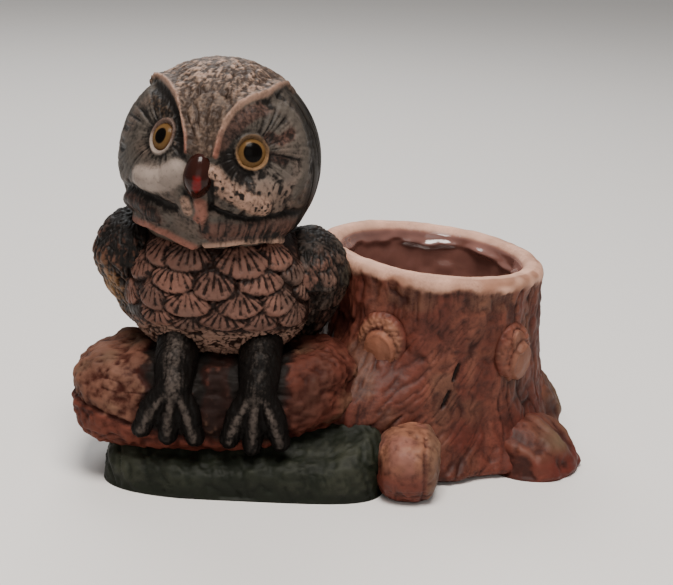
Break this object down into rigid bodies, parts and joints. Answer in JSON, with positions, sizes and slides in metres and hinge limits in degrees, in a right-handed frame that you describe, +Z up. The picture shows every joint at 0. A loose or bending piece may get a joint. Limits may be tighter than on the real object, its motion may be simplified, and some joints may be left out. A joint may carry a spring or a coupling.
{
  "type": "owl figurine planter",
  "caption": "Ceramic owl on a log beside a hollow tree stump that is open at the top as a small planter, with a moss bank and a flat base.",
  "frame": {"origin": "on the ground, under the middle of the whole object", "axes": "+Z up; -Y is the front, where the owl looks; +X is from the owl towards the stump"},
  "size_m": [0.185, 0.1228, 0.1482],
  "materials": {
    "stump_bark": "painted bark, thin glaze, pale rim and glossy brown inside",
    "root_bark": "painted bark, thin glaze",
    "branch_scar": "painted, pale, thin glaze",
    "log_bark": "painted bark, thin glaze",
    "stub_bark": "painted, pale top, thin glaze",
    "moss": "painted dark green, satin",
    "breast_feather": "painted dark, raised feathers rubbed pale, satin",
    "head_feather": "painted dark, raised feathers rubbed pale, satin",
    "wing_feather": "painted dark, lightly rubbed, satin",
    "tail_feather": "painted dark, lightly rubbed, satin",
    "foot_glaze": "painted near black, rubbed grey on top, satin",
    "eye_glaze": "painted amber iris and black pupil, glossy",
    "beak_glaze": "painted dark red, glossy"
  },
  "bodies": {
    "root": {"stump_pot": "stump_bark", "stump_root_right": "root_bark", "stump_root_back": "root_bark", "knot_left": "branch_scar", "knot_right": "branch_scar", "log_perch": "log_bark", "log_stub": "stub_bark", "moss_bank": "moss", "owl_body": "breast_feather", "owl_head": "head_feather", "owl_eye_left": "eye_glaze", "owl_eye_right": "eye_glaze", "owl_beak": "beak_glaze", "owl_wing_left": "wing_feather", "owl_wing_right": "wing_feather", "owl_tail": "tail_feather", "owl_foot_left": "foot_glaze", "owl_foot_right": "foot_glaze"}
  },
  "joints": []
}
